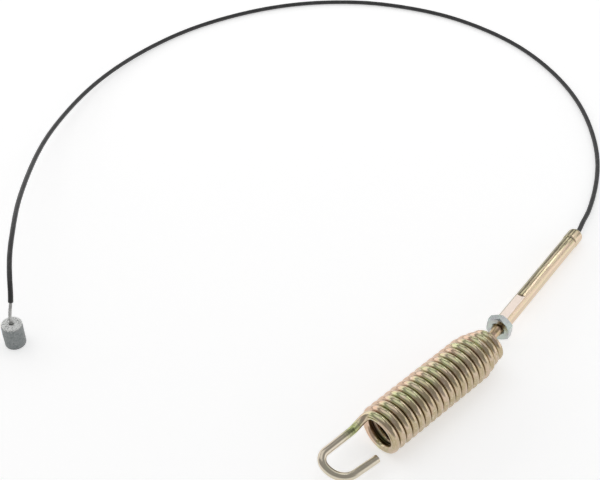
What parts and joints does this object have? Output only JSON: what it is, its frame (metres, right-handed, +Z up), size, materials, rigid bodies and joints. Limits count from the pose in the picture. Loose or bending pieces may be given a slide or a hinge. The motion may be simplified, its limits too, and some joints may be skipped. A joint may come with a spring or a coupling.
{
  "type": "auger drive control cable",
  "caption": "Control cable with a hooked extension spring, a screw adjuster with jam nut, a jacketed wire rope and a barrel end.",
  "frame": {"origin": "middle of the underside of everything but the cable itself, on the table", "axes": "+X along the spring from its hook to its coned end, +Z up"},
  "size_m": [0.3616, 0.3129, 0.0364],
  "materials": {
    "spring": "yellow chromate over zinc, iridescent",
    "bolt": "yellow chromate over zinc",
    "nut": "clear zinc",
    "sleeve": "yellow chromate over zinc, pinkish",
    "stop": "plain, swaged",
    "jacket": "semi-gloss coating",
    "rope": "galvanised strands",
    "barrel": "rough die-cast zinc"
  },
  "bodies": {
    "spring": {"extension_spring": "spring"},
    "bolt": {"swivel_bolt": "bolt"},
    "nut": {"jam_nut": "nut"},
    "cable": {"cable_stop": "stop", "cable_jacket": "jacket", "wire_rope": "rope", "barrel_end": "barrel"},
    "sleeve": {"adjuster_sleeve": "sleeve"}
  },
  "joints": [
    {"name": "spring_stretch", "type": "slide", "parent": "spring", "child": "bolt", "axis": [1, 0, 0], "range_m": [0, 0.025], "stiffness_N_per_m": 18000, "deforming": ["extension_spring"]},
    {"name": "nut_run", "type": "slide", "parent": "bolt", "child": "nut", "axis": [0.9764, 0.204, -0.0703], "range_m": [-0.004, 0]},
    {"name": "cable_travel", "type": "slide", "parent": "bolt", "child": "cable", "axis": [0.9764, 0.204, -0.0703], "range_m": [0, 0.01088]},
    {"name": "sleeve_turn", "type": "hinge", "parent": "cable", "child": "sleeve", "pos_m": [0.02302, -0.07512, 0.0111], "axis": [0.9764, 0.204, -0.0703], "range_deg": [0, 4320]}
  ],
  "couplings": [
    {"joint": "sleeve_turn", "follows": "cable_travel", "rad_per_m": 6927.2}
  ]
}
